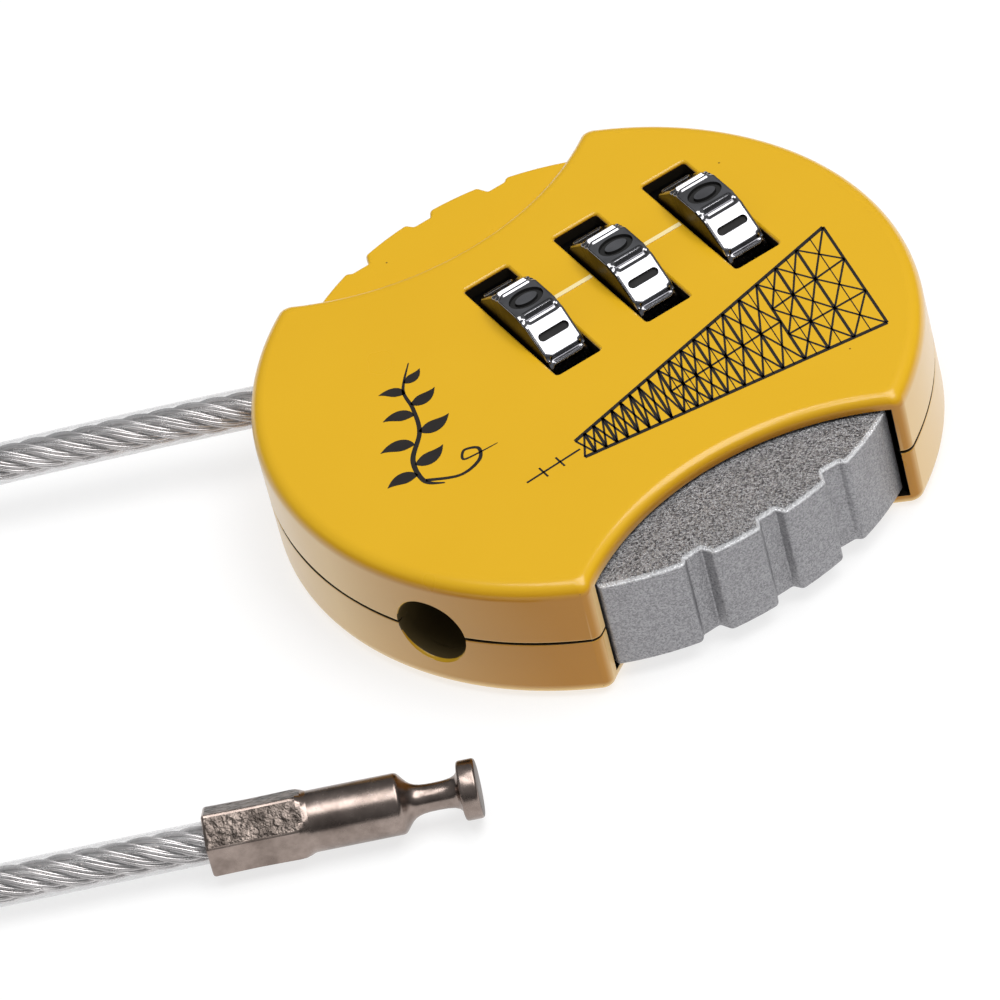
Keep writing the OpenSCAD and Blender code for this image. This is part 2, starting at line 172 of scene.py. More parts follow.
def paint(name, base, deep, specks_and_wall_shade=True):
    """Thick glossy baked paint with soft orange peel. When its last argument is true it also has dust specks,
    painted shade on upright walls and a painted pale sheen where they are seen at a grazing angle.
    """
    n = Nodes(name)
    tint = n.ramp(n.noise(90, 4, 0.6), 0.3, 0.72, deep, base)
    col = n.mix(0.32, base, tint)
    if specks_and_wall_shade:
        for cells, size, share in ((330, 0.030, 0.80), (620, 0.035, 0.93)):
            v = n.voronoi(cells)
            part = n.add("ShaderNodeSeparateColor")
            n.link(v.outputs["Color"], part.inputs[0])
            dot = n.ramp(v.outputs["Distance"], size * 0.5, size, (1, 1, 1, 1), (0, 0, 0, 1))
            few = n.ramp(part.outputs[0], share, share + 0.01)
            col = n.mix(n.mix(1.0, dot, few, "MULTIPLY"), col, rgb(120, 84, 24))
        # upright walls get painted shade, their colour multiplied darker, and a painted pale sheen where they
        # are seen at a grazing angle
        up = n.add("ShaderNodeSeparateXYZ")
        n.link(n.add("ShaderNodeTexCoord").outputs["Normal"], up.inputs[0])
        level = n.add("ShaderNodeMath", operation="ABSOLUTE")
        n.link(up.outputs["Z"], level.inputs[0])
        thin = n.ramp(level.outputs[0], 0.12, 0.8, (1, 1, 1, 1), (0, 0, 0, 1))
        glance = n.add("ShaderNodeLayerWeight")
        glance.inputs["Blend"].default_value = 0.5
        # painted sheen: pale tint that grows as the wall is seen more edge-on
        painted_sheen = n.ramp(glance.outputs["Facing"], 0.30, 0.66)
        wall = n.mix(painted_sheen, n.mix(1.0, col, (0.66, 0.48, 0.4, 1), "MULTIPLY"), rgb(238, 200, 134))
        col = n.mix(thin, col, wall)
    n.link(col, n.bsdf.inputs["Base Color"])
    n.link(n.range(n.noise(160, 3, 0.5), 0.24, 0.36), n.bsdf.inputs["Roughness"])
    n.set(Coat_Weight=0.3, Coat_Roughness=0.12, IOR=1.5, Specular_IOR_Level=0.36)
    first = n.bump(n.noise(420, 2, 0.5), 0.10, 0.05)
    n.bump(n.noise(70, 2, 0.4), 0.10, 0.10, after=first)
    return n.mat


def blasted(name):
    """Bead-blasted silver: a fine grain in colour and bump, with painted sparkle on upward faces, and a
    painted near-white highlight on the rounded upper edges.
    """
    n = Nodes(name)
    grain = n.voronoi(10500)
    shade = n.ramp(grain.outputs["Color"], 0.15, 0.85, rgb(92, 91, 94), rgb(236, 235, 238))
    coords = n.add("ShaderNodeTexCoord")
    up = n.add("ShaderNodeSeparateXYZ")
    n.link(coords.outputs["Normal"], up.inputs[0])
    # painted sparkle: the grain's light and dark contrast is strong on upward faces, as if lit from above, and
    # weak on walls
    painted_sparkle = n.ramp(up.outputs["Z"], 0.1, 0.8, grey(0.25), grey(0.95))
    col = n.mix(painted_sparkle, rgb(138, 137, 140), shade)
    # painted highlight: near-white on faces tilted part way from up, the rounded upper edges that face the key
    # light, broken into patches by noise
    painted_edge_highlight = n.add("ShaderNodeValToRGB")
    n.link(up.outputs["Z"], painted_edge_highlight.inputs[0])
    stops = painted_edge_highlight.color_ramp.elements
    stops[0].position, stops[0].color = 0.22, grey(0)
    stops[1].position, stops[1].color = 0.55, grey(1)
    for at, v in ((0.90, 1), (0.985, 0)):
        stops.new(at).color = grey(v)
    patchy = n.ramp(n.noise(1400, 3, 0.7), 0.25, 0.5, grey(0.55), grey(1))
    painted_highlight = n.mix(1.0, painted_edge_highlight.outputs[0], patchy, "MULTIPLY")
    n.link(n.mix(painted_highlight, col, rgb(246, 246, 248)), n.bsdf.inputs["Base Color"])
    n.link(n.range(n.noise(9000, 2, 0.6), 0.30, 0.46), n.bsdf.inputs["Roughness"])
    n.set(Metallic=0.62, Specular_IOR_Level=0.5)
    facing_up = n.ramp(up.outputs["Z"], 0.1, 0.8, grey(0.22), grey(1))
    first = n.bump(grain.outputs["Distance"], 1.0, 0.12)
    second = n.bump(n.noise(5600, 3, 0.6), 0.6, 0.04, after=first)
    for b in (first, second):
        n.link(facing_up, b.node.inputs["Strength"])
    return n.mat


def metal(name, light, dark, rough=(0.12, 0.3), streak=None, dents=0.0, scale=300):
    """Bare or plated metal with uneven tone, and turning marks or dents."""
    n = Nodes(name)
    col = n.mix(n.ramp(n.noise(scale, 4, 0.6), 0.35, 0.7), dark, light)
    n.link(col, n.bsdf.inputs["Base Color"])
    n.link(n.range(n.noise(scale * 2.4, 3, 0.6), rough[0], rough[1]), n.bsdf.inputs["Roughness"])
    n.set(Metallic=1.0)
    after = None
    if streak:
        after = n.bump(n.noise(1.0, 2, 0.6, vector=n.scaled(*streak)), 0.35, 0.02)
    n.bump(n.noise(scale * 3, 3, 0.55), 0.08 + dents, 0.03 + dents * 0.1, after=after)
    return n.mat


def plastic(name, colour, rough=(0.4, 0.6)):
    n = Nodes(name)
    worn = tuple(c * 1.4 for c in colour[:3]) + (1,)
    n.link(n.mix(n.noise(500, 2), colour, worn), n.bsdf.inputs["Base Color"])
    n.link(n.range(n.noise(800, 2), rough[0], rough[1]), n.bsdf.inputs["Roughness"])
    n.bump(n.noise(1800, 2), 0.2, 0.03)
    return n.mat


def clear_coat(name):
    """Clear soft plastic: see-through face on, milky towards its edges."""
    n = Nodes(name)
    edge = n.add("ShaderNodeLayerWeight")
    edge.inputs["Blend"].default_value = 0.42
    haze = n.range(n.noise(260, 3, 0.6), 0.0, 0.10)
    rim = n.ramp(edge.outputs["Facing"], 0.15, 0.95, (0.13, 0.13, 0.13, 1), (0.62, 0.62, 0.62, 1))
    alpha = n.add("ShaderNodeMath", operation="ADD")
    n.link(rim, alpha.inputs[0])
    n.link(haze, alpha.inputs[1])
    n.link(alpha.outputs[0], n.bsdf.inputs["Alpha"])
    n.link(n.mix(n.noise(300, 2), rgb(226, 226, 228), rgb(242, 242, 244)), n.bsdf.inputs["Base Color"])
    n.set(Roughness=0.18, Coat_Weight=1.0, Coat_Roughness=0.08, Specular_IOR_Level=0.9)
    n.bump(n.noise(420, 2), 0.12, 0.05)
    return n.mat


def ink(name, colour):
    n = Nodes(name)
    thin = tuple(c * 1.6 + 0.004 for c in colour[:3]) + (1,)
    n.link(n.mix(n.noise(900, 3), colour, thin), n.bsdf.inputs["Base Color"])
    n.link(n.range(n.noise(700, 2), 0.35, 0.5), n.bsdf.inputs["Roughness"])
    return n.mat


YELLOW = paint("case_paint", rgb(230, 180, 28), rgb(224, 173, 24))
LAND = paint("case_seam", rgb(58, 42, 16), rgb(36, 27, 12), specks_and_wall_shade=False)
INSIDE = paint("case_inside", rgb(96, 82, 52), rgb(58, 52, 38), specks_and_wall_shade=False)
DARK = paint("case_shadowed", rgb(38, 33, 26), rgb(24, 22, 18), specks_and_wall_shade=False)
PALE = paint("index_paint", rgb(252, 234, 176), rgb(244, 220, 150), specks_and_wall_shade=False)
SILVER = blasted("button_metal")
CHROME = metal("wheel_chrome", rgb(168, 168, 172), rgb(138, 137, 140), rough=(0.08, 0.2), scale=420)
GUN = metal("plug_steel", rgb(166, 151, 143), rgb(126, 113, 106), rough=(0.2, 0.32), scale=520, dents=0.04)
CRIMP = metal("plug_crimp", rgb(152, 139, 131), rgb(66, 59, 55), rough=(0.26, 0.42), scale=900, dents=1.1)
# darker steel for the plug's flat end face: painted shade
END_SHADE = metal("plug_end", rgb(116, 105, 98), rgb(88, 79, 73), rough=(0.36, 0.5), scale=900, dents=0.2)
WIRE = metal("cable_wire", rgb(232, 228, 227), rgb(186, 181, 180), rough=(0.2, 0.36), scale=500)
STEEL = metal("latch_steel", rgb(170, 171, 174), rgb(132, 132, 136), rough=(0.25, 0.4),
              streak=(200, 4000, 200))
SPRING = metal("spring_steel", rgb(196, 196, 200), rgb(150, 150, 154), rough=(0.18, 0.3))
BRASS = metal("sleeve_brass", rgb(206, 176, 98), rgb(168, 138, 66), rough=(0.22, 0.36))
ZINC = metal("ferrule_aluminium", rgb(178, 178, 181), rgb(140, 140, 144), rough=(0.3, 0.45), dents=0.1)
CHEEK = metal("wheel_cheek", rgb(84, 80, 76), rgb(52, 49, 46), rough=(0.3, 0.45), scale=600)
BLACK = plastic("black_plastic", rgb(20, 19, 18))
INK = ink("print_ink", rgb(22, 17, 14))
FILL = plastic("digit_fill", rgb(14, 13, 13), rough=(0.6, 0.8))
COAT = clear_coat("cable_coat")


# =====================================================================
# mesh helpers, all lengths in millimetres
# =====================================================================

def add_mesh(name, verts, faces, mats, body, smooth=35, weld=True):
    """A new object in the scene, which rides on a body if one is named."""
    me = bpy.data.meshes.new(name)
    me.from_pydata([(x * MM, y * MM, z * MM) for x, y, z in verts], [], faces)
    for m in mats:
        me.materials.append(m)
    bm = bmesh.new()
    bm.from_mesh(me)
    if weld:
        bmesh.ops.remove_doubles(bm, verts=bm.verts, dist=1e-7)
    bmesh.ops.recalc_face_normals(bm, faces=bm.faces)
    bm.to_mesh(me)
    bm.free()
    ob = bpy.data.objects.new(name, me)
    bpy.context.scene.collection.objects.link(ob)
    shade(ob, smooth)
    if body:
        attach(ob, body)
    return ob


def shade(ob, degrees):
    """Smooth shading with hard edges over an angle."""
    me = ob.data
    me.polygons.foreach_set("use_smooth", [True] * len(me.polygons))
    bm = bmesh.new()
    bm.from_mesh(me)
    for e in bm.edges:
        e.smooth = len(e.link_faces) == 2 and e.calc_face_angle(0) < math.radians(degrees)
    bm.to_mesh(me)
    bm.free()


def loft(rings, cap_first=True, cap_last=True):
    """Vertices and faces through rings that all have the same number of points."""
    n, verts, faces = len(rings[0]), [], []
    for r in rings:
        verts += r
    for k in range(len(rings) - 1):
        for i in range(n):
            j = (i + 1) % n
            faces.append((k * n + i, k * n + j, (k + 1) * n + j, (k + 1) * n + i))
    if cap_first:
        faces.append(tuple(range(n - 1, -1, -1)))
    if cap_last:
        faces.append(tuple((len(rings) - 1) * n + i for i in range(n)))
    return verts, faces


def merge(*parts):
    verts, faces = [], []
    for v, f in parts:
        base = len(verts)
        verts += v
        faces += [tuple(i + base for i in g) for g in f]
    return verts, faces


def move(part, matrix):
    return [tuple(matrix @ Vector(v)) for v in part[0]], part[1]


def circle(r, z, sides):
    turns = [2 * math.pi * i / sides for i in range(sides)]
    return [(r * math.cos(a), r * math.sin(a), z) for a in turns]


def turned(profile, sides=64):
    """A closed solid of revolution about Z from (radius, height) points."""
    return loft([circle(r, z, sides) for r, z in profile])


def tube(inner, outer, low, high, sides=64):
    """A pipe about Z."""
    profile = [(inner, low), (outer, low), (outer, high), (inner, high), (inner, low)]
    return loft([circle(r, z, sides) for r, z in profile], False, False)


def cut(ob, part, slot=0, whole=False):
    """Cuts a solid out of an object, into the slot given. A solid that crosses itself needs whole."""
    cutter = add_mesh("cutter", *part, [], None)
    if slot:
        for _ in range(slot + 1):
            cutter.data.materials.append(None)
        cutter.data.polygons.foreach_set("material_index", [slot] * len(cutter.data.polygons))
    mod = ob.modifiers.new("cut", "BOOLEAN")
    mod.object, mod.operation, mod.solver, mod.use_self = cutter, "DIFFERENCE", "EXACT", whole
    dg = bpy.context.evaluated_depsgraph_get()
    made = bpy.data.meshes.new_from_object(ob.evaluated_get(dg))
    ob.modifiers.remove(mod)
    old, ob.data = ob.data, made
    bpy.data.meshes.remove(old)
    bpy.data.objects.remove(cutter)


def even(ob):
    """Normals that follow the large faces, so flats stay flat beside rounded edges."""
    mod = ob.modifiers.new("even", "WEIGHTED_NORMAL")
    mod.keep_sharp = True
    mod.weight = 80


def smoothstep(t):
    t = min(max(t, 0.0), 1.0)
    return t * t * (3 - 2 * t)


# =====================================================================
# camera, light, floor
# =====================================================================

CAMERA_AT = Vector((-405.33, 180.55, 398.44)) * MM
LOOK_AT = Vector((1.83, 7.77, 0.0)) * MM
LENS, ROLL = 324.02, 15.0

look = LOOK_AT - CAMERA_AT
level = look.to_track_quat("-Z", "Y").to_matrix()
cam_data = bpy.data.cameras.new("camera")
cam_data.lens, cam_data.sensor_width = LENS, 36
cam_data.clip_start, cam_data.clip_end = 0.01, 50
camera = bpy.data.objects.new("camera", cam_data)
bpy.context.scene.collection.objects.link(camera)
rolled = level @ Matrix.Rotation(math.radians(-ROLL), 3, "Z")
camera.matrix_world = Matrix.Translation(CAMERA_AT) @ rolled.to_4x4()
bpy.context.scene.camera = camera
bpy.context.scene.view_settings.view_transform = "Standard"

FLOOR_HALF, FLOOR_Z = 4000, -0.01
floor_n = Nodes("floor")
floor_n.link(floor_n.mix(floor_n.noise(30, 3), grey(0.28), grey(0.30)), floor_n.bsdf.inputs["Base Color"])
floor_n.set(Roughness=0.9, Specular_IOR_Level=0.1, Emission_Color=(1, 1, 1, 1), Emission_Strength=0.74)
corners = [(sx * FLOOR_HALF, sy * FLOOR_HALF, FLOOR_Z) for sx, sy in ((-1, -1), (1, -1), (1, 1), (-1, 1))]
floor = add_mesh("floor", corners, [(0, 1, 2, 3)], [floor_n.mat], None)
floor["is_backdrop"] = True

world = bpy.data.worlds.new("studio")
bpy.context.scene.world = world
world.use_nodes = True
sky = world.node_tree
sky_where = sky.nodes.new("ShaderNodeTexCoord")
sky_split = sky.nodes.new("ShaderNodeSeparateXYZ")
sky_ramp = sky.nodes.new("ShaderNodeValToRGB")
sky.links.new(sky_where.outputs["Generated"], sky_split.inputs[0])
sky.links.new(sky_split.outputs["Z"], sky_ramp.inputs[0])
sky.links.new(sky_ramp.outputs[0], sky.nodes["Background"].inputs[0])
low_sky, high_sky = sky_ramp.color_ramp.elements
low_sky.position, low_sky.color = 0.12, (0.05, 0.05, 0.052, 1)
high_sky.position, high_sky.color = 0.62, (0.25, 0.255, 0.26, 1)


def softbox(name, x, y, height, size_x, size_y, power):
    """A flat soft light facing straight down."""
    d = bpy.data.lights.new(name, "AREA")
    d.shape, d.size, d.size_y, d.energy = "RECTANGLE", size_x, size_y, power
    o = bpy.data.objects.new(name, d)
    bpy.context.scene.collection.objects.link(o)
    o.location = (x, y, height)


softbox("key", -0.20, -0.27, 0.8, 0.82, 0.46, 6.1)
softbox("top", -0.08, 0.14, 0.8, 0.5, 0.2, 1.5)


# =====================================================================
# case
# =====================================================================

RIM_STEPS, CORNER_STEPS, SCOOP_STEPS = 110, 7, 54


def outline(out_in, out_z, scoop_in, scoop_z):
    """The case seen from above, moved in by out_in on the round rim and by scoop_in on the scooped flanks."""
    rim, scoop = R - out_in, SCOOP_R + scoop_in
    a, b = rim - CORNER, scoop + CORNER
    x = (SCOOP_X ** 2 + a * a - b * b) / (2 * SCOOP_X)
    y = math.sqrt(a * a - x * x)
    top = math.atan2(y, x)
    bite = math.atan2(y, SCOOP_X - x)

    def rim_arc(start):
        turns = [start + (math.pi - 2 * top) * i / RIM_STEPS for i in range(RIM_STEPS + 1)]
        return [(rim * math.cos(t), rim * math.sin(t), out_z) for t in turns]

    def scoop_arc(side):
        turns = [-side * bite + side * 2 * bite * i / SCOOP_STEPS for i in range(SCOOP_STEPS + 1)]
        return [(side * (SCOOP_X - scoop * math.cos(t)), scoop * math.sin(t), scoop_z) for t in turns]

    def horn(sx, sy, forward):
        """The rounded corner from the rim to the flank, or back."""
        c = Vector((sx * x, sy * y))
        p = c.normalized()
        q = (Vector((sx * SCOOP_X, 0)) - c).normalized()
        row = []
        for i in range(CORNER_STEPS):
            t = (i + 0.5) / CORNER_STEPS
            d = p.lerp(q, t).normalized()
            row.append((c.x + d.x * CORNER, c.y + d.y * CORNER, out_z + (scoop_z - out_z) * t))
        return row if forward else row[::-1]

    return (rim_arc(top) + horn(-1, 1, True) + scoop_arc(-1) + horn(-1, -1, False)
            + rim_arc(math.pi + top) + horn(1, -1, True) + scoop_arc(1) + horn(1, 1, False))


def half_case():
    """The upper half as a solid, before it is hollowed: rounded top edge and a fine lip at the seam."""
    def lip(depth, rise, far):
        ring = []
        for x, y, _ in outline(depth, SEAM, depth, SEAM):
            a = math.degrees(math.atan2(y, x))
            gape = 0.06 + 0.07 * math.exp(-((a - 74) / 24) ** 2)
            waves = 0.015 * math.sin(a * 0.11) + 0.008 * math.sin(a * 0.37)
            ring.append((x, y, SEAM + (gape + waves + rise if far else 0)))
        return ring

    rings = [lip(0.5, 0, False)]
    rings += [lip(depth, rise, True) for depth, rise in ((0.45, 0), (0.12, 0), (0.035, 0.045), (0, 0.15))]
    steps = 9
    rings.append(outline(0, T - EDGE_OUT - 0.05, 0, T - EDGE_SCOOP - 0.05))
    for k in range(steps + 1):
        a = math.pi / 2 * k / steps
        o = EDGE_OUT * (1 - math.cos(a)), T - EDGE_OUT * (1 - math.sin(a))
        s = EDGE_SCOOP * (1 - math.cos(a)), T - EDGE_SCOOP * (1 - math.sin(a))
        rings.append(outline(*o, *s))
    rings.append(outline(EDGE_OUT + 0.06, T, EDGE_SCOOP + 0.06, T))
    return loft(rings)


def flip(part):
    """Mirrors a part about the seam."""
    return [(x, y, T - z) for x, y, z in part[0]], [tuple(reversed(f)) for f in part[1]]


def block(x0, x1, y0, y1, z0, z1):
    ring = lambda z: [(x0, y0, z), (x1, y0, z), (x1, y1, z), (x0, y1, z)]
    return loft([ring(z0), ring(z1)])


def rounded_slot(cx, cy, hx, hy, r, grow):
    pts = []
    for sx, sy, a0 in ((1, 1, 0), (-1, 1, 90), (-1, -1, 180), (1, -1, 270)):
        for i in range(6):
            a = math.radians(a0 + 90 * i / 5)
            x = cx + sx * (hx - r) + (r + grow) * math.cos(a)
            y = cy + sy * (hy - r) + (r + grow) * math.sin(a)
            pts.append((x, y))
    return pts


def lying(x, y, z, turn, tip):
    """Puts a part made about Z on its side at a place, pointing to +Y or -Y before it is turned."""
    return Matrix.Translation((x, y, z)) @ Matrix.Rotation(turn, 4, "Z") @ Matrix.Rotation(tip, 4, "X")


def on_screw(turn):
    return Matrix.Rotation(math.radians(turn), 4, "Z") @ Matrix.Translation((SCREW_AT, 0, 0))


EXIT_X = EXIT_Y = R * math.sqrt(0.5)
TO_FRONT, TO_REAR = -math.pi / 2, math.pi / 2
PORT = lying(0, 0, SEAM, PORT_ANGLE, TO_FRONT)
EXIT = lying(EXIT_X, EXIT_Y, SEAM, -CABLE_ANGLE, TO_FRONT)


def hollow():
    """The space inside the shells, with a wall round the rim and one behind the fixed grip."""
    n, pts = 120, []
    r = R - RIM
    wall = SCOOP_R + 1.0
    x = (SCOOP_X ** 2 + r * r - wall * wall) / (2 * SCOOP_X)
    a0 = math.atan2(math.sqrt(r * r - x * x), x)
    for i in range(n + 1):
        t = a0 + (2 * math.pi - 2 * a0) * i / n
        pts.append((r * math.cos(t), r * math.sin(t)))
    b0 = math.atan2(math.sqrt(r * r - x * x), SCOOP_X - x)
    for i in range(1, 40):
        t = -b0 + 2 * b0 * i / 40
        pts.append((SCOOP_X - wall * math.cos(t), wall * math.sin(t)))
    return loft([[(px, py, PLATE) for px, py in pts], [(px, py, T - PLATE) for px, py in pts]])


def works(low, high):
    """What the shells hold inside: cable boss, button guides, screw posts, between two heights."""
    parts = [move(tube(CABLE_R + 0.7, CABLE_R + 1.7, -9.5, -3.0), EXIT),
             move(tube(CABLE_R + 0.12, CABLE_R + 1.7, -3.0, -1.6), EXIT)]
    for inner, outer, tip in ((OPENING_FRONT, 12.75, -18.5), (OPENING_REAR, -13.1, -17.4)):
        root = -SCOOP_X + math.sqrt((SCOOP_R + 0.06) ** 2 - inner * inner) + 0.02
        guide = [(root, inner), (GUIDE_BACK, inner), (GUIDE_BACK, outer), (tip, outer)]
        if inner < 0:
            guide = guide[::-1]
        parts.append(loft([[(x, y, z) for x, y in guide] for z in (PLATE - 0.3, T - PLATE + 0.3)]))
    for a in SCREW_TURNS:
        parts.append(move(tube(0.8, 2.0, PLATE - 0.2, T - PLATE + 0.2, 24), on_screw(a)))
    out = []
    for p in parts:
        me = bpy.data.meshes.new("slice")
        me.from_pydata(p[0], [], p[1])
        bm = bmesh.new()
        bm.from_mesh(me)
        for z, inner in ((low, False), (high, True)):
            geom = bm.verts[:] + bm.edges[:] + bm.faces[:]
            bmesh.ops.bisect_plane(bm, geom=geom, plane_co=(0, 0, z), plane_no=(0, 0, 1),
                                   clear_outer=inner, clear_inner=not inner)
        bm.verts.ensure_lookup_table()
        bm.verts.index_update()
        out.append(([tuple(v.co) for v in bm.verts], [tuple(v.index for v in f.verts) for f in bm.faces]))
        bm.free()
        bpy.data.meshes.remove(me)
    return merge(*out)


PAINTED, LANDS, INNER, SHADOWED = range(4)
PORT_MOUTH = [(0, -8), (0, -0.42), (0.02, -0.22), (0.07, -0.12), (0.14, -0.06), (0.5, 1)]
EXIT_MOUTH = [(0.1, -6), (0.1, -0.9), (0.3, 0.2), (0.6, 2.5)]


def shell(name, part):
    ob = add_mesh(name, *part, [YELLOW, LAND, INSIDE, DARK], "case", smooth=28)
    cut(ob, hollow(), slot=SHADOWED)
    button_space = (OPENING_REAR, OPENING_FRONT, PLATE, T - PLATE)
    cut(ob, block(-R - 2, OPENING_LIP, *button_space))
    cut(ob, block(OPENING_LIP - 0.01, OPENING_DEEP, *button_space), slot=SHADOWED)
    cut(ob, move(turned([(PORT_R + out, R + along) for out, along in PORT_MOUTH]), PORT))
    cut(ob, move(turned([(CABLE_R + out, along) for out, along in EXIT_MOUTH]), EXIT))
    into_port = PORT.inverted()
    for f in ob.data.polygons:
        c = f.center / MM
        in_port = into_port @ c
        off_seam = abs(c.z - SEAM)
        if off_seam < 0.16 and abs(f.normal.z) > 0.7 or off_seam < 0.06:
            f.material_index = LANDS
        elif math.hypot(in_port.x, in_port.y) < PORT_R + 0.04 and R - 6 < in_port.z < R + 0.5:
            f.material_index = INNER
    return ob


upper = shell("upper_shell_body", half_case())
for y in DIAL_Y:
    rings = []
    for up, grow in ((-PLATE - 1, 0), (-0.2, 0), (-0.12, 0.03), (-0.05, 0.09), (0, 0.17), (0.3, 0.5)):
        slot_line = rounded_slot(DIAL_X, y, WINDOW_HALF, WINDOW_W / 2, 0.22, grow)
        rings.append([(px, py, T + up) for px, py in slot_line])
    cut(upper, loft(rings), slot=SHADOWED)
for f in upper.data.polygons:
    if f.center.z > (T - 0.19) * MM:
        f.material_index = PAINTED
lower = shell("lower_shell_body", flip(half_case()))
for a in SCREW_TURNS:
    cut(lower, move(turned([(1.85, -0.5), (1.7, 0.05), (1.6, 0.15), (1.6, 1.15)], 40), on_screw(a)))
for ob, nodes in ((upper, ("upper_shell",)), (lower, ("lower_shell",))):
    shade(ob, 28)
    even(ob)
    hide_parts(*nodes)

for name, low, high in (("upper_shell_works", SEAM + 0.001, T), ("lower_shell_works", 0, SEAM - 0.001)):
    ob = add_mesh(name, *works(low, high), [DARK], "case", smooth=30)
boss = move(tube(PORT_R, PORT_R + 0.9, R - PORT_LEN, R - 1.25), PORT)
ob = add_mesh("port_boss", *boss, [INSIDE], "case", smooth=30)


# ---- grips: the button on one flank, the fixed one on the other ----

ARC_STEPS = 5


def inset_corners(pts, insets):
    """Each corner of a polygon after its sides move inwards, each by its own distance."""
    n, out = len(pts), []
    lines = []
    for i in range(n):
        p, q = Vector(pts[i]), Vector(pts[(i + 1) % n])
        d = (q - p).normalized()
        lines.append((p + Vector((-d.y, d.x)) * insets[i], d))
    for i in range(n):
        (p, d), (q, e) = lines[i - 1], lines[i]
        k = d.x * e.y - d.y * e.x
        if abs(k) < 1e-6:
            out.append(q)
        else:
            w = q - p
            out.append(p + d * ((w.x * e.y - w.y * e.x) / k))
    return out


def rounded(pts, radii, turns):
    """A polygon with an arc in place of each corner that has a radius."""
    n, out = len(pts), []
    for i in range(n):
        p, r = pts[i], radii[i]
        if not turns[i]:
            out.append(tuple(p))
            continue
        a, b = (pts[i - 1] - p).normalized(), (pts[(i + 1) % n] - p).normalized()
        half = math.acos(max(-1, min(1, a @ b))) / 2
        r = max(r, 0.01)
        nearest = min((pts[i - 1] - p).length, (pts[(i + 1) % n] - p).length)
        reach = min(r / math.tan(half), 0.49 * nearest)
        r = reach * math.tan(half)
        mid = p + (a + b).normalized() * (r / math.sin(half))
        u, v = p + a * reach - mid, p + b * reach - mid
        for k in range(ARC_STEPS + 1):
            w = u.lerp(v, k / ARC_STEPS).normalized() * r if r > 1e-6 else Vector((0, 0))
            out.append(tuple(mid + w))
    return out


def grip(r, front, rear, grooves, depth, back, side, z0, z1, edge_low, edge_high, flat=0.0):
    """A block with a round outer face, upright finger grooves in it and every outer edge rounded."""
    def reach(y):
        return math.sqrt(r * r - y * y)

    half, floor_half = GROOVE_W / 2, GROOVE_W * 0.31
    marks = [(g - half, g - floor_half, g + floor_half, g + half) for g in sorted(grooves)]
    face = []
    for lo, hi in zip([-rear] + [m[3] for m in marks], [m[0] for m in marks] + [front]):
        count = max(2, int((hi - lo) / 0.9))
        for k in range(count + 1):
            y = lo + (hi - lo) * k / count
            face.append((y, reach(y), 0.4 if k in (0, count) else 0))
        m = [m for m in marks if m[0] == hi]
        if m:
            floor_x = reach((m[0][1] + m[0][2]) / 2) - depth
            face += [(m[0][1], floor_x, 0.14), (m[0][2], floor_x, 0.14)]
    # walk anticlockwise seen from above whichever side the grip is on
    line = [(side * (x + flat * abs(y + 1)), y, c) for y, x, c in face]
    line += [(side * back, front, 0), (side * back, -rear, 0)]
    if side < 0:
        line = line[::-1]
    pts, radii, turns = [Vector(q[:2]) for q in line], [q[2] for q in line], [q[2] > 0 for q in line]
    n = len(pts)
    behind = [abs(q.x - side * back) < 1e-9 for q in pts]
    at_back = [behind[i] and behind[(i + 1) % n] for i in range(n)]
    bend = []
    for i in range(n):
        d, e = pts[i] - pts[i - 1], pts[(i + 1) % n] - pts[i]
        bend.append(1 if d.x * e.y - d.y * e.x > 0 else -1)
    rings = []
    for z_edge, radius, sign in ((z0, edge_low, 1), (z1, edge_high, -1)):
        here = []
        for k in range(ARC_STEPS + 1):
            a = math.pi / 2 * k / ARC_STEPS
            by = radius * (1 - math.sin(a))
            moved = inset_corners(pts, [0 if at_back[i] else by for i in range(n)])
            ring = rounded(moved, [radii[i] - bend[i] * by for i in range(n)], turns)
            here.append([(x, y, z_edge + sign * radius * (1 - math.cos(a))) for x, y in ring])
        rings += here if sign > 0 else here[::-1]
    return loft(rings)


pad = grip(BUTTON_R, BUTTON_FRONT, BUTTON_REAR, BUTTON_GROOVES, 0.72, BUTTON_BACK, -1,
           BUTTON_LOW, BUTTON_HIGH, 0.32, 0.38, flat=0.028)
button = add_mesh("release_button_body", *pad, [SILVER], "button", smooth=32)
even(button)
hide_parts("release_button")

for name, z0, z1, soft in (("fixed_grip_upper", SEAM + 0.05, T - LOBE_STEP, (0.05, 0.3)),
                           ("fixed_grip_lower", LOBE_STEP, SEAM - 0.05, (0.3, 0.05))):
    lobe = grip(LOBE_R, LOBE_HALF, LOBE_HALF, LOBE_GROOVES, 0.6, SCOOP_WALL - 0.7, 1, z0, z1, *soft)
    ob = add_mesh(name, *lobe, [YELLOW], "case", smooth=32)
    even(ob)


# =====================================================================
# code wheels
# =====================================================================

FLAT_R, TOP_R = 5.13, 5.385


def wheel_radius(a, lift):
    """Radius of a wheel a degrees from the middle of a flat: soft ridges beside a groove at each corner."""
    flat = FLAT_R / math.cos(math.radians(a))
    ridge = 0.085 * math.exp(-((abs(a) - 14.3) / 1.35) ** 4)
    groove = 0.27 * math.exp(-((abs(a) - 18) / 1.35) ** 2)
    lower = 0.16 * smoothstep((abs(a) - 11.5) / 5.5)
    return min(flat + ridge * lift - groove * lift - lower * (1 - lift), TOP_R)


def stadium(x, y0, y1, w):
    """An upright bar with round ends, as a ring of points."""
    pts = []
    for cy, a0 in ((y1 - w / 2, 0), (y0 + w / 2, 180)):
        for i in range(9):
            a = math.radians(a0 + 180 * i / 8)
            pts.append((x + w / 2 * math.cos(a), cy + w / 2 * math.sin(a)))
    return pts


def prism(ring, low, high):
    return loft([[(x, y, low) for x, y in ring], [(x, y, high) for x, y in ring]])


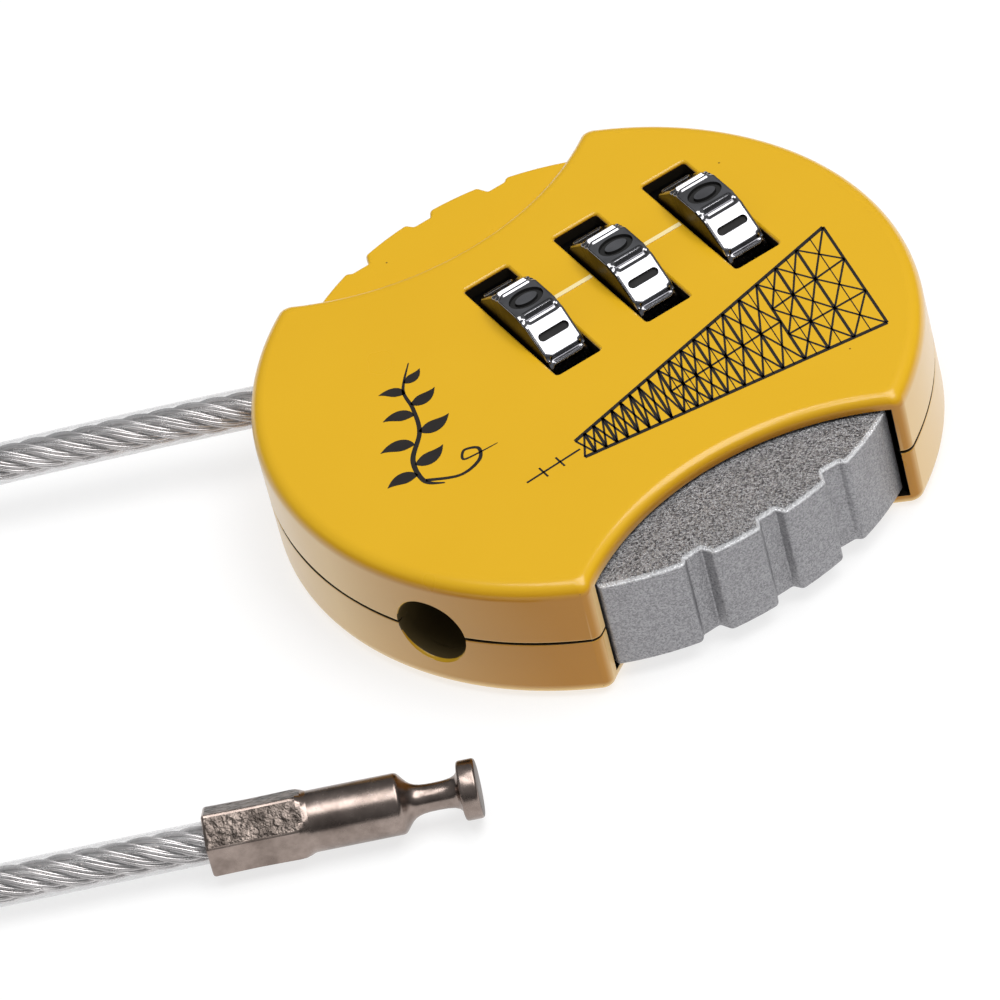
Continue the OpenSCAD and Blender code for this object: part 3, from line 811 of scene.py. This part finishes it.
def oval_ring(rx, ry, w, low, high):
    """A digit 0: an oval ring whose walls flare outwards."""
    turns = [2 * math.pi * i / 32 for i in range(32)]
    flare = 0.14

    def ring(k, z):
        return [((rx - k) * math.cos(a), (ry - k) * math.sin(a), z) for a in turns]

    walls = [ring(0, low), ring(-flare, high), ring(w + flare, high), ring(w, low), ring(0, low)]
    return loft(walls, False, False)


def font_digit(text, width, height, low, high):
    """A digit from Blender's own plain font, scaled to a size and given thickness."""
    cu = bpy.data.curves.new("digit", "FONT")
    cu.body, cu.extrude, cu.offset, cu.resolution_u = text, 0.5, 0.012, 10
    ob = bpy.data.objects.new("digit", cu)
    bpy.context.scene.collection.objects.link(ob)
    bpy.context.view_layer.update()
    me = ob.to_mesh()
    bm = bmesh.new()
    bm.from_mesh(me)
    bmesh.ops.remove_doubles(bm, verts=bm.verts, dist=1e-5)
    bm.verts.index_update()
    xs = [v.co.x for v in bm.verts]
    ys = [v.co.y for v in bm.verts]
    sx, sy = width / (max(xs) - min(xs)), height / (max(ys) - min(ys))
    cx, cy = (max(xs) + min(xs)) / 2, (max(ys) + min(ys)) / 2
    thick = high - low
    verts = [((v.co.x - cx) * sx, (v.co.y - cy) * sy, low + (v.co.z + 0.5) * thick) for v in bm.verts]
    faces = [tuple(v.index for v in f.verts) for f in bm.faces]
    bm.free()
    ob.to_mesh_clear()
    bpy.data.objects.remove(ob)
    bpy.data.curves.remove(cu)
    return verts, faces


def digit(n):
    low, high = FLAT_R - 0.22, FLAT_R + 0.5
    if n == 0:
        return oval_ring(0.84, 1.22, 0.36, low, high)
    if n == 1:
        return prism(stadium(0, -1.18, 1.18, 0.62), low, high)
    return font_digit(str(n), 1.45, 2.35, low, high)


def wheel(i):
    half, edge = DIAL_W / 2, 0.2
    angles = [36 * k + a for k in range(10) for a in [-18 + 0.9 * j for j in range(40)]]
    stations = [(half, None), (half, edge), (half - edge * 0.13, edge * 0.55)]
    stations += [(half - edge * 0.42, edge * 0.2), (half - edge, 0)]
    stations += [(half - edge - 0.36 * t, 0) for t in (0.2, 0.4, 0.6, 0.8, 1.0)]
    rings = []
    for y, drop in [(-y, d) for y, d in stations] + stations[::-1] + [(-half, None)]:
        ring = []
        for a in angles:
            near = (a + 18) % 36 - 18
            lift = smoothstep((half - edge - abs(y)) / 0.36)
            r = 1.62 if drop is None else wheel_radius(near, lift) - drop
            t = math.radians(a)
            ring.append((-r * math.sin(t), y, r * math.cos(t)))
        rings.append(ring)
    blank = loft(rings, False, False)
    ob = add_mesh(f"dial_wheel_{i + 1}_body", *blank, [CHROME, FILL, CHEEK], None, smooth=40)
    cutters = [move(digit(n), Matrix.Rotation(math.radians(-36 * n), 4, "Y")) for n in range(10)]
    cut(ob, merge(*cutters), slot=1, whole=True)
    for f in ob.data.polygons:
        if abs(f.normal.y) > 0.95:
            f.material_index = 2
    for v in ob.data.vertices:
        v.co += Vector((DIAL_X, DIAL_Y[i], AXLE_Z)) * MM
    shade(ob, 30)
    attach(ob, f"dial_{i + 1}")
    even(ob)
    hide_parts(f"dial_wheel_{i + 1}")


for i in range(3):
    wheel(i)


# =====================================================================
# cable and plug
# =====================================================================

DIR_U = Vector((math.sin(CABLE_ANGLE), math.cos(CABLE_ANGLE), 0))
DIR_V = Vector((math.cos(CABLE_ANGLE), -math.sin(CABLE_ANGLE), 0))
exit_at = Vector((EXIT_X, EXIT_Y, 0))
plug_at = Vector((*PLUG_END, 0))
eu, ev, pu, pv = exit_at @ DIR_U, exit_at @ DIR_V, plug_at @ DIR_U, plug_at @ DIR_V
bend_r = (ev - pv) / 2
bend_u = (CABLE_LENGTH - math.pi * bend_r + eu + pu) / 2
leg_a, bend_l = bend_u - eu, math.pi * bend_r
LOW_Z = CABLE_R + 0.2


def cable_at(s):
    """The centre line of the cable, s millimetres from where it leaves the rim."""
    if s < leg_a:
        u, v = eu + s, ev
    elif s < leg_a + bend_l:
        a = (s - leg_a) / bend_r
        u, v = bend_u + bend_r * math.sin(a), (ev + pv) / 2 + bend_r * math.cos(a)
    else:
        u, v = bend_u - (s - leg_a - bend_l), pv
    if s < 0.6 * CABLE_LENGTH:
        z = SEAM + (LOW_Z - SEAM) * smoothstep(s / (0.6 * CABLE_LENGTH))
    else:
        z = LOW_Z + (PLUG_Z - LOW_Z) * smoothstep((s / CABLE_LENGTH - 0.6) / 0.4)
    p = DIR_U * u + DIR_V * v
    return Vector((p.x, p.y, z))


def cable_frame(s):
    p = cable_at(s)
    t = (cable_at(s + 0.05) - cable_at(s - 0.05)).normalized()
    side = t.cross(Vector((0, 0, 1))).normalized()
    return p, side, side.cross(t)


STRANDS, WIRES, LAY, WIRE_LAY = 6, 6, -10.6, 34.0
STRAND_AT, WIRE_AT, WIRE_R = 0.80, 0.262, 0.142
FIRST, LAST, STEP = -8.0, CABLE_LENGTH + 5.0, 0.42

COUNT = int((LAST - FIRST) / STEP)
stations = [FIRST + (LAST - FIRST) * k / COUNT for k in range(COUNT + 1)]
frames = [cable_frame(s) for s in stations]
verts, faces = [], []
sides = 5
for a in range(STRANDS + 1):
    for b in range(WIRES + 1):
        if a < STRANDS and b == WIRES:
            continue
        base = len(verts)
        for s, (p, e1, e2) in zip(stations, frames):
            if a == STRANDS:
                t1, r1 = 0.0, 0.0
            else:
                t1, r1 = 2 * math.pi * (a / STRANDS + s / LAY), STRAND_AT
            t2 = 2 * math.pi * (b / WIRES + s / (WIRE_LAY if a < STRANDS else LAY))
            r2 = 0 if b == WIRES else WIRE_AT
            right = math.cos(t1) * r1 + math.cos(t2) * r2
            up = math.sin(t1) * r1 + math.sin(t2) * r2
            for k in range(sides):
                w = 2 * math.pi * k / sides
                verts.append(tuple(p + e1 * (right + WIRE_R * math.cos(w)) + e2 * (up + WIRE_R * math.sin(w))))
        for k in range(len(stations) - 1):
            for j in range(sides):
                i0, i1 = base + k * sides + j, base + k * sides + (j + 1) % sides
                faces.append((i0, i1, i1 + sides, i0 + sides))
        faces.append(tuple(base + j for j in range(sides)))
        faces.append(tuple(base + (len(stations) - 1) * sides + j for j in range(sides)))
rope = add_mesh("cable_strands", verts, faces, [WIRE], "case", smooth=80, weld=False)

curve = bpy.data.curves.new("cable_coat", "CURVE")
curve.dimensions, curve.use_fill_caps = "3D", False
curve.bevel_depth, curve.bevel_resolution = CABLE_R * MM, 8
line = curve.splines.new("POLY")
coat_stations = [-2.0, -1.0] + [CABLE_LENGTH * k / 90 for k in range(91)]
line.points.add(len(coat_stations) - 1)
for pt, s in zip(line.points, coat_stations):
    pt.co = (*(cable_at(s) * MM), 1)
line.use_smooth = True
coat = bpy.data.objects.new("cable_coat", curve)
bpy.context.scene.collection.objects.link(coat)
coat.data.materials.append(COAT)
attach(coat, "case")
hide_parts("cable")

# ---- plug: six-sided crimped sleeve, barrel, shoulder, neck, head ----

PLUG = lying(*PLUG_END, PLUG_Z, -CABLE_ANGLE, TO_REAR)


PLUG_SIDES = 96


def six_sided(z, shrink, round_by):
    """A hexagon with rounded corners, one of them at the bottom."""
    ring = []
    for i in range(PLUG_SIDES):
        a = 2 * math.pi * i / PLUG_SIDES
        near = ((math.degrees(a) + 30) % 60) - 30
        r = min(HEX_FLAT / math.cos(math.radians(near)), HEX_CORNER - round_by) - shrink
        ring.append((r * math.cos(a), r * math.sin(a), z))
    return ring


def facet(turn):
    """The way that a flat of the sleeve faces."""
    a = math.radians(turn)
    return (PLUG.to_3x3() @ Vector((math.cos(a), math.sin(a), 0))).normalized()


rings = [circle(r, z, PLUG_SIDES) for r, z in ((1.42, 0.9), (1.42, 0.25), (1.5, 0.05))]
rings += [six_sided(z, shrink, round_by) for z, shrink, round_by in (
    (0.0, 0.3, 0), (0.0, 0.16, 0), (0.06, 0.05, 0), (0.18, 0, 0), (1.5, 0.02, 0), (3.0, 0.04, 0),
    (4.6, 0.02, 0), (5.7, 0, 0), (6.1, 0, 0.06), (6.4, 0, 0.2))]
rings += [circle(r, z, PLUG_SIDES) for r, z in ((2.04, 6.6), (2.0, 6.75), (1.9, 6.8))]
sleeve = add_mesh("plug_sleeve", *move(loft(rings), PLUG), [GUN, CRIMP], "case", smooth=16)
pressed = [facet(60), facet(120)]
for f in sleeve.data.polygons:
    if max(f.normal @ way for way in pressed) > 0.995:
        f.material_index = 1
body = [(1.9, 6.6), (2.0, 6.7), (2.0, 12.42), (1.975, 12.55), (1.91, 12.66)]
shoulder = [(1.8, 12.76), (1.55, 12.96), (1.3, 13.18), (1.13, 13.4), (1.02, 13.66), (0.95, 13.95)]
neck = [(0.91, 14.35), (0.9, 14.9), (0.92, 15.5), (0.98, 15.95), (1.1, 16.25), (1.3, 16.43), (1.5, 16.5)]
head = [(1.78, 16.5), (1.87, 16.53), (1.93, 16.6), (1.95, 16.7), (1.95, 17.5), (1.93, 17.6), (1.87, 17.67)]
end_face = [(1.78, 17.7), (0.6, 17.7)]
solid = turned(body + shoulder + neck + head + end_face, PLUG_SIDES)
barrel = add_mesh("plug_barrel", *move(solid, PLUG), [GUN, END_SHADE], "case", smooth=34)
along = PLUG.to_3x3() @ Vector((0, 0, 1))
# the flat end face takes the darker end material, painted shade
for f in barrel.data.polygons:
    if f.normal @ along > 0.9 and (PLUG.inverted() @ (f.center / MM)).z > 17.6:
        f.material_index = 1
for ob in (sleeve, barrel):
    even(ob)
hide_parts("cable_plug")


# =====================================================================
# print on the face: a plain lattice mast and a leafy sprig
# =====================================================================

PRINT_Z = T + 0.012


def ribbon(points, widths):
    """A flat inked line of one width or of a width at each point."""
    verts, faces, n = [], [], len(points)
    for k, (x, y) in enumerate(points):
        a, b = points[max(k - 1, 0)], points[min(k + 1, n - 1)]
        d = Vector((b[0] - a[0], b[1] - a[1]))
        d = d.normalized() if d.length > 1e-9 else Vector((1, 0))
        w = widths[k] / 2 if hasattr(widths, "__len__") else widths / 2
        verts += [(x - d.y * w, y + d.x * w, PRINT_Z), (x + d.y * w, y - d.x * w, PRINT_Z)]
        if k:
            i = 2 * k
            faces.append((i - 2, i - 1, i + 1, i))
    return verts, faces


def bar(a, b, w):
    return ribbon([a, b], w)


MAST_TIP, MAST_LEFT, MAST_RIGHT = Vector((-8.0, 9.8)), Vector((-12.4, -15.9)), Vector((-1.6, -18.2))
MAST_START = 0.16


def edge(t, s):
    """A point on the left or right leg of the mast, t of the way from its tip to its foot."""
    return MAST_TIP.lerp(MAST_LEFT if s < 0 else MAST_RIGHT, t)


def across(t, f):
    """A point f of the way from the left leg to the right one."""
    return edge(t, -1).lerp(edge(t, 1), f)


parts = []
for s in (-1, 1):
    parts.append(bar(edge(MAST_START, s), edge(1, s), 0.30))
parts.append(bar(MAST_TIP, across(MAST_START, 0.5), 0.16))
for t in (0.05, 0.10):
    parts.append(bar(across(t, 0.5) - Vector((0.55, 0)), across(t, 0.5) + Vector((0.55, 0)), 0.14))
levels, t = [MAST_START], MAST_START
while t < 0.995:
    t = min(1.0, t + max(0.030, 0.085 * t))
    if 1.0 - t < 0.03:
        t = 1.0
    levels.append(t)
for a, b in zip(levels, levels[1:]):
    parts.append(bar(edge(b, -1), edge(b, 1), 0.21))
    cells = 1 if a < 0.42 else 2 if a < 0.72 else 3
    for c in range(cells):
        f0, f1 = c / cells, (c + 1) / cells
        parts.append(bar(across(a, f0), across(b, f1), 0.15))
        parts.append(bar(across(a, f1), across(b, f0), 0.15))
        if c:
            parts.append(bar(across(a, f0), across(b, f0), 0.18))
    if cells > 1:
        m = (a + b) / 2
        parts.append(bar(across(m, 0), across(m, 1), 0.08))
add_mesh("print_mast", *merge(*parts), [INK], "case", smooth=30, weld=False)


STROKE_STEPS = 14


def swash(points, widths):
    """A smooth pen stroke through points."""
    out, ws = [], []
    p = [Vector(q) for q in points]
    for k in range(len(p) - 1):
        p0, p1, p2, p3 = p[max(k - 1, 0)], p[k], p[k + 1], p[min(k + 2, len(p) - 1)]
        bow, twist = 2 * p0 - 5 * p1 + 4 * p2 - p3, 3 * p1 - p0 - 3 * p2 + p3
        for i in range(STROKE_STEPS):
            t = i / STROKE_STEPS
            out.append(tuple(0.5 * ((2 * p1) + (p2 - p0) * t + bow * t * t + twist * t ** 3)))
            ws.append(widths[k] + (widths[k + 1] - widths[k]) * t)
    out.append(tuple(p[-1]))
    ws.append(widths[-1])
    return ribbon(out, ws)


def leaf(root, length, turn, wide):
    """A pointed leaf, slightly curved, with its stalk at the root."""
    pts, widths = [], []
    for k in range(STROKE_STEPS + 1):
        t = k / STROKE_STEPS
        a = math.radians(turn) + 0.5 * t
        pts.append((root[0] + length * t * math.cos(a), root[1] + length * t * math.sin(a)))
        belly = math.sin(math.pi * min(1, 1.02 * t) ** 0.8) ** 1.1 if t < 0.97 else 0
        widths.append(0.06 + wide * belly if t < 0.97 else 0.03)
    return ribbon(pts, widths)


# A leafy sprig with one loose tendril. A leaf is its root, length, turn in degrees and width.
STEM = [(-4.1, 13.7), (-3.0, 14.6), (-0.8, 14.1), (1.2, 12.3), (3.4, 11.4), (5.4, 10.9), (7.4, 9.2)]
STEM_WIDE = [0.10, 0.34, 0.36, 0.32, 0.28, 0.22, 0.08]
LEAVES = [((-2.2, 14.6), 2.2, 52, 1.02), ((-1.2, 14.2), 2.4, -112, 1.08),
          ((0.4, 13.2), 2.3, 38, 1.04), ((1.3, 12.3), 2.4, -118, 1.08),
          ((2.8, 11.7), 2.1, 34, 0.96), ((3.9, 11.3), 2.1, -112, 0.94),
          ((5.0, 11.0), 1.8, 22, 0.8), ((6.0, 10.5), 1.6, -104, 0.72)]
TENDRIL = [(-3.0, 14.5), (-4.2, 12.6), (-3.9, 10.9), (-2.9, 10.3), (-2.4, 11.1), (-3.1, 11.6), (-3.3, 10.6),
           (-3.4, 9.1)]
TENDRIL_WIDE = [0.28, 0.24, 0.26, 0.24, 0.2, 0.18, 0.14, 0.06]
sprig = [swash(STEM, STEM_WIDE), swash(TENDRIL, TENDRIL_WIDE)]
sprig += [leaf(*row) for row in LEAVES]
add_mesh("print_sprig", *merge(*sprig), [INK], "case", smooth=30, weld=False)


# =====================================================================
# CAD nodes that show as they are
# =====================================================================

AS_BUILT = {"index_lines": PALE, "locking_slider": STEEL, "dial_spindle": STEEL, "dial_cradle": BLACK,
            "detent_spring": SPRING, "cable_anchor": ZINC}
for spring in ("front", "rear"):
    AS_BUILT[f"button_spring_{spring}"] = SPRING
for i in (1, 2, 3):
    AS_BUILT[f"code_sleeve_{i}"] = BRASS
    AS_BUILT[f"case_screw_{i}"] = STEEL
for node, mat in AS_BUILT.items():
    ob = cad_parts[node]
    ob.data.materials.clear()
    ob.data.materials.append(mat)

low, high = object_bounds()
